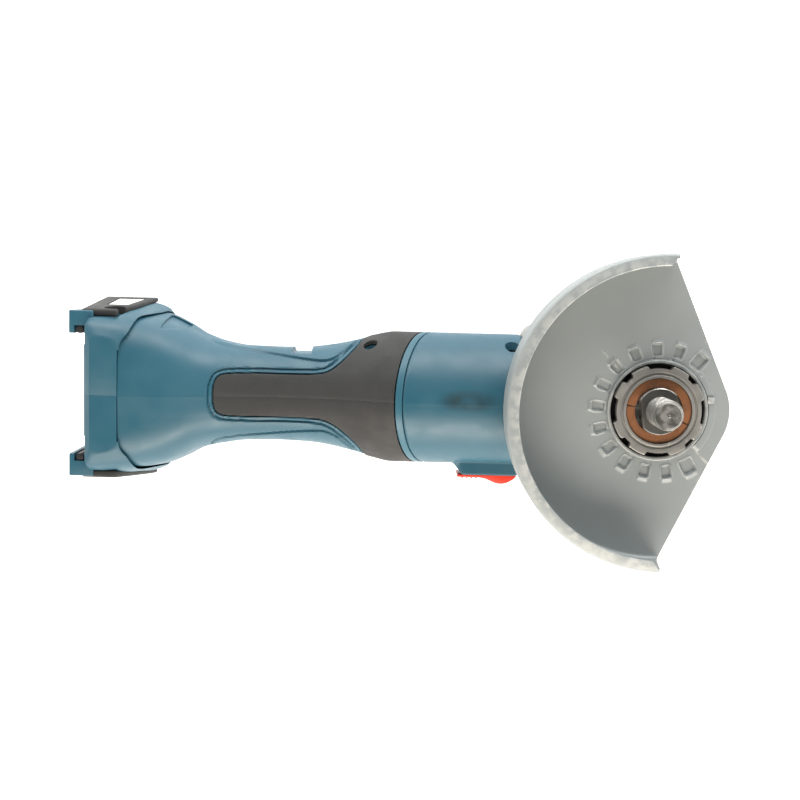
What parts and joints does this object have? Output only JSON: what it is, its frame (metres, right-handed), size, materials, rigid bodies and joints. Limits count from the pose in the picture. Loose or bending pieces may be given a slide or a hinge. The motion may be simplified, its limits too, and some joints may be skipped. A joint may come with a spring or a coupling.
{
  "type": "angle grinder",
  "caption": "Cordless angle grinder without its battery: barrel body with rubber grip, slide switch, battery foot, half guard and threaded spindle.",
  "frame": {"origin": "on the spindle's axis, in the flat back of the gear head that the tool lies on", "axes": "+Z along the spindle away from the gear head, +X from the battery foot towards the guard, +Y to the left"},
  "size_m": [0.304, 0.141, 0.092],
  "materials": {
    "blue_body": "fine texture",
    "pale_ring": "fine texture",
    "grip_rubber": "soft matte",
    "switch_red": "satin",
    "guard_steel": "satin silver-grey",
    "cast_alloy": "as cast",
    "steel": "machined",
    "copper": "worn copper tone",
    "brass": "plain",
    "black_plastic": "matte",
    "core_steel": "laminated",
    "blank_plate": "plain"
  },
  "bodies": {
    "frame": {"bearing_flange": "cast_alloy", "bearing_plate": "cast_alloy", "brush_holder": "black_plastic", "brush_lower": "black_plastic", "brush_spring_lower": "steel", "brush_spring_upper": "steel", "brush_upper": "black_plastic", "bumper_left": "grip_rubber", "bumper_plate": "blank_plate", "bumper_right": "grip_rubber", "contact_1": "brass", "contact_2": "brass", "contact_3": "brass", "control_module": "black_plastic", "dust_ring": "copper", "flange_screw_1": "steel", "flange_screw_2": "steel", "flange_screw_3": "steel", "flange_screw_4": "steel", "foot_left": "blue_body", "foot_right": "blue_body", "foot_screw": "steel", "front_bearing": "steel", "gear_housing": "cast_alloy", "grip_rubber_left": "grip_rubber", "grip_rubber_right": "grip_rubber", "handle_left": "blue_body", "handle_right": "blue_body", "housing_screw": "steel", "latch_pin": "steel", "latch_spring": "steel", "lock_spring": "steel", "magnet_lower": "black_plastic", "magnet_upper": "black_plastic", "motor_can": "steel", "motor_housing": "blue_body", "neck_ring": "pale_ring", "neck_screw": "steel", "needle_bearing": "steel", "rear_bearing": "steel", "spindle_bearing": "steel", "switch_body": "black_plastic", "switch_spring": "steel", "terminal_block": "black_plastic"},
    "armature": {"armature_shaft": "steel", "armature_core": "core_steel", "winding_front": "copper", "winding_rear": "copper", "commutator": "copper", "fan": "black_plastic", "pinion_gear": "steel"},
    "spindle": {"spindle": "steel", "crown_gear": "steel"},
    "guard": {"guard": "guard_steel"},
    "guard_latch": {"guard_latch": "steel"},
    "lock_button": {"lock_button": "black_plastic"},
    "switch": {"switch_slider": "switch_red", "switch_link": "black_plastic"}
  },
  "joints": [
    {"name": "armature_spin", "type": "hinge", "parent": "frame", "child": "armature", "pos_m": [-0.06, 0, 0.032], "axis": [1, 0, 0], "continuous": true},
    {"name": "spindle_spin", "type": "hinge", "parent": "frame", "child": "spindle", "pos_m": [0, 0, 0.06], "axis": [0, 0, 1], "continuous": true},
    {"name": "guard_turn", "type": "hinge", "parent": "frame", "child": "guard", "pos_m": [0, 0, 0.067], "axis": [0, 0, 1], "range_deg": [-180, 60]},
    {"name": "guard_latch_press", "type": "hinge", "parent": "frame", "child": "guard_latch", "pos_m": [-0.01706, 0.03474, 0.06], "axis": [0.8977, 0.4407, 0], "range_deg": [0, 9], "stiffness_Nm_per_rad": 0.15},
    {"name": "lock_press", "type": "slide", "parent": "frame", "child": "lock_button", "axis": [0, 0, 1], "range_m": [0, 0.0035], "stiffness_N_per_m": 600, "springref_m": -0.001, "deforming": ["lock_spring"]},
    {"name": "switch_slide", "type": "slide", "parent": "frame", "child": "switch", "axis": [1, 0, 0], "range_m": [0, 0.005], "stiffness_N_per_m": 400, "springref_m": -0.0005, "deforming": ["switch_spring"]}
  ],
  "couplings": [
    {"joint": "spindle_spin", "follows": "armature_spin", "ratio": 0.33333}
  ]
}
